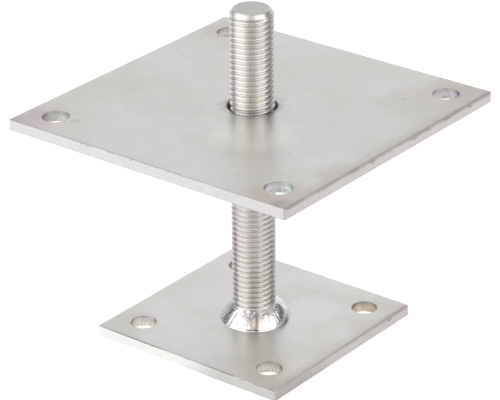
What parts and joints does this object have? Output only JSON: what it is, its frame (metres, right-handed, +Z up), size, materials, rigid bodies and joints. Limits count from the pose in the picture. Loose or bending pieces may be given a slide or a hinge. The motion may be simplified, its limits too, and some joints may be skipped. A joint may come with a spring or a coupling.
{
  "type": "column base plate",
  "caption": "Height-adjustable column base: a threaded rod welded on a square base plate carries a larger square plate on a nut.",
  "frame": {"origin": "centre of the base plate's underside", "axes": "+Z up the rod, +X and +Y square to the plates' edges"},
  "size_m": [0.15, 0.15, 0.1535],
  "materials": {
    "plate_steel": "satin",
    "rod_steel": "gloss",
    "weld_metal": "gloss",
    "nut_steel": "satin"
  },
  "bodies": {
    "base": {"base_plate": "plate_steel", "threaded_rod": "rod_steel", "weld_fillet": "weld_metal"},
    "head": {"top_plate": "plate_steel"},
    "nut": {"adjusting_nut": "nut_steel"}
  },
  "joints": [
    {"name": "plate_lift", "type": "slide", "parent": "base", "child": "head", "axis": [0, 0, 1], "range_m": [-0.07, 0.045]},
    {"name": "nut_turn", "type": "hinge", "parent": "head", "child": "nut", "pos_m": [0, 0, 0.0952], "axis": [0, 0, 1], "range_deg": [-10085, 6485]}
  ],
  "couplings": [
    {"joint": "nut_turn", "follows": "plate_lift", "rad_per_m": 2513.3}
  ]
}
